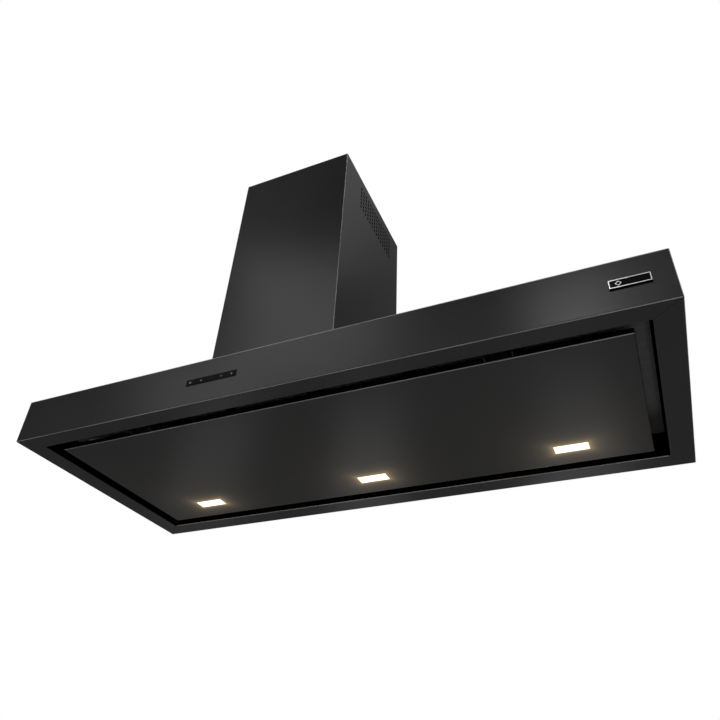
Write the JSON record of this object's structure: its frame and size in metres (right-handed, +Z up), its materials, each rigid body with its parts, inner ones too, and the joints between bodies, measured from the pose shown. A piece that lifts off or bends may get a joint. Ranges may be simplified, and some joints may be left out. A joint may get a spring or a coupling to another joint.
{
  "type": "island range hood",
  "caption": "Flat wide island range hood: telescopic chimney with side vents, shallow canopy with a hinged perimeter-suction panel, strip lamps and a key strip.",
  "frame": {"origin": "centre of the ceiling plate's top face, on the chimney's axis", "axes": "+Z up towards the ceiling; front with the keys towards -Y; +X to the right of someone facing the front"},
  "size_m": [1.2, 0.5074, 0.6958],
  "materials": {
    "hood_metal": "satin dark graphite finish",
    "zinc_steel": "galvanised sheet",
    "bright_steel": "bright zinc",
    "filter_aluminium": "satin",
    "black_plastic": "fine texture",
    "gloss_black": "gloss",
    "polished_trim": "polished",
    "lamp_lens": "frosted warm white",
    "board_green": "lacquered",
    "bush_rubber": "matte",
    "motor_shell": "lacquered"
  },
  "bodies": {
    "ceiling_frame": {"ceiling_plate": "zinc_steel", "upper_uprights": "zinc_steel", "upper_chimney_cover": "hood_metal", "upper_chimney_rear": "hood_metal", "upper_chimney_screws": "bright_steel"},
    "hood": {"lower_uprights": "zinc_steel", "upright_bolts": "bright_steel", "frame_base": "zinc_steel", "frame_bolts": "bright_steel", "load_rails": "zinc_steel", "lower_chimney_cover": "hood_metal", "lower_chimney_rear": "hood_metal", "lower_chimney_screws": "bright_steel", "canopy_front": "hood_metal", "canopy_rear": "hood_metal", "canopy_left": "hood_metal", "canopy_right": "hood_metal", "canopy_top": "hood_metal", "filter_deck": "hood_metal", "deck_screws": "bright_steel", "grease_filter_1": "filter_aluminium", "grease_filter_2": "filter_aluminium", "grease_filter_3": "filter_aluminium", "latch_keepers": "zinc_steel", "filter_hooks": "zinc_steel", "motor_box": "zinc_steel", "scroll_left": "black_plastic", "scroll_right": "black_plastic", "motor": "motor_shell", "motor_bracket": "zinc_steel", "motor_bushes": "bush_rubber", "duct_collar": "black_plastic", "flap_pin": "bright_steel", "electronics_box": "black_plastic", "cable_gland": "black_plastic", "control_bezel": "gloss_black", "control_housing": "black_plastic", "control_board": "board_green", "badge_frame": "polished_trim", "badge_plate": "gloss_black", "hinge_brackets": "zinc_steel", "panel_catches": "black_plastic"},
    "panel": {"suction_panel": "hood_metal", "hinge_pins": "bright_steel", "panel_strikers": "bright_steel", "led_bezels": "polished_trim", "led_diffusers": "lamp_lens", "led_housings": "filter_aluminium"},
    "blower_wheel": {"impeller": "zinc_steel", "motor_shaft": "bright_steel"},
    "front_flap": {"flap_front": "black_plastic"},
    "rear_flap": {"flap_rear": "black_plastic"},
    "key_1": {"control_key_1": "gloss_black"},
    "key_2": {"control_key_2": "gloss_black"},
    "key_3": {"control_key_3": "gloss_black"},
    "key_4": {"control_key_4": "gloss_black"},
    "key_5": {"control_key_5": "gloss_black"},
    "latch_1": {"filter_latch_1": "bright_steel"},
    "latch_2": {"filter_latch_2": "bright_steel"},
    "latch_3": {"filter_latch_3": "bright_steel"}
  },
  "joints": [
    {"name": "height_adjust", "type": "slide", "parent": "ceiling_frame", "child": "hood", "axis": [0, 0, -1], "range_m": [0, 0.25]},
    {"name": "panel_hinge", "type": "hinge", "parent": "hood", "child": "panel", "pos_m": [0.106, 0.175, -0.679], "axis": [1, 0, 0], "range_deg": [0, 85]},
    {"name": "wheel_spin", "type": "hinge", "parent": "hood", "child": "blower_wheel", "pos_m": [0, -0.05, -0.48], "axis": [1, 0, 0], "continuous": true},
    {"name": "front_flap_swing", "type": "hinge", "parent": "hood", "child": "front_flap", "pos_m": [0, 0, -0.33], "axis": [-1, 0, 0], "range_deg": [0, 75]},
    {"name": "rear_flap_swing", "type": "hinge", "parent": "hood", "child": "rear_flap", "pos_m": [0, 0, -0.33], "axis": [1, 0, 0], "range_deg": [0, 75]},
    {"name": "key_1_press", "type": "slide", "parent": "hood", "child": "key_1", "axis": [0, 1, 0], "range_m": [0, 0.0012], "stiffness_N_per_m": 900, "springref_m": -0.0006},
    {"name": "key_2_press", "type": "slide", "parent": "hood", "child": "key_2", "axis": [0, 1, 0], "range_m": [0, 0.0012], "stiffness_N_per_m": 900, "springref_m": -0.0006},
    {"name": "key_3_press", "type": "slide", "parent": "hood", "child": "key_3", "axis": [0, 1, 0], "range_m": [0, 0.0012], "stiffness_N_per_m": 900, "springref_m": -0.0006},
    {"name": "key_4_press", "type": "slide", "parent": "hood", "child": "key_4", "axis": [0, 1, 0], "range_m": [0, 0.0012], "stiffness_N_per_m": 900, "springref_m": -0.0006},
    {"name": "key_5_press", "type": "slide", "parent": "hood", "child": "key_5", "axis": [0, 1, 0], "range_m": [0, 0.0012], "stiffness_N_per_m": 900, "springref_m": -0.0006},
    {"name": "latch_1_slide", "type": "slide", "parent": "hood", "child": "latch_1", "axis": [0, 1, 0], "range_m": [0, 0.008], "stiffness_N_per_m": 250, "springref_m": -0.004},
    {"name": "latch_2_slide", "type": "slide", "parent": "hood", "child": "latch_2", "axis": [0, 1, 0], "range_m": [0, 0.008], "stiffness_N_per_m": 250, "springref_m": -0.004},
    {"name": "latch_3_slide", "type": "slide", "parent": "hood", "child": "latch_3", "axis": [0, 1, 0], "range_m": [0, 0.008], "stiffness_N_per_m": 250, "springref_m": -0.004}
  ]
}
